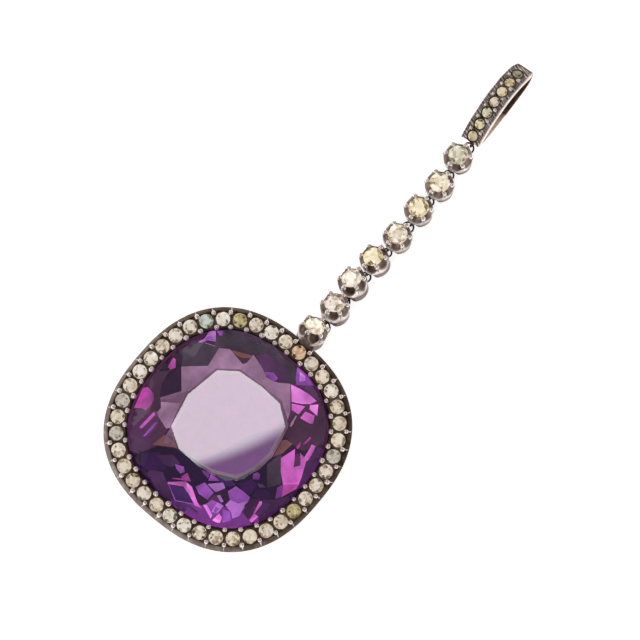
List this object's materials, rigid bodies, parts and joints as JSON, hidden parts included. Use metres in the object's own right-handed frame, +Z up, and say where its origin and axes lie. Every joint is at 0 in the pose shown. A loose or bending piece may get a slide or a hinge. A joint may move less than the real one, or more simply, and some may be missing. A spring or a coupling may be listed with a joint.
{
  "type": "amethyst pendant",
  "caption": "Antique-style pendant: a cushion-cut amethyst in a silver halo of small stones, hung from a row of linked collets and a slim set bail.",
  "frame": {"origin": "under the middle of the whole pendant, on the surface that it lies on", "axes": "+Y from the cluster along the chain to the bail, +Z up out of the stones' faces"},
  "size_m": [0.027, 0.0704, 0.0111],
  "materials": {
    "amethyst": "polished, facetted",
    "diamond": "polished, facetted",
    "silver": "hand-worked silver, darkened in its recesses",
    "rose_gold": "satin rose gold"
  },
  "bodies": {
    "root": {"amethyst": "amethyst", "cluster_mount": "silver", "halo_diamonds": "diamond", "bail_front": "silver", "bail_loop": "rose_gold", "collet_1": "silver", "collet_2": "silver", "collet_3": "silver", "collet_4": "silver", "collet_5": "silver", "collet_6": "silver", "collet_7": "silver", "collet_8": "silver", "link_1": "silver", "link_2": "silver", "link_3": "silver", "link_4": "silver", "link_5": "silver", "link_6": "silver", "link_7": "silver", "link_8": "silver", "link_9": "silver", "collet_diamond_1": "diamond", "collet_diamond_2": "diamond", "collet_diamond_3": "diamond", "collet_diamond_4": "diamond", "collet_diamond_5": "diamond", "collet_diamond_6": "diamond", "collet_diamond_7": "diamond", "collet_diamond_8": "diamond", "bail_diamond_1": "diamond", "bail_diamond_2": "diamond", "bail_diamond_3": "diamond", "bail_diamond_4": "diamond", "bail_diamond_5": "diamond", "bail_diamond_6": "diamond", "bail_diamond_7": "diamond"}
  },
  "joints": []
}
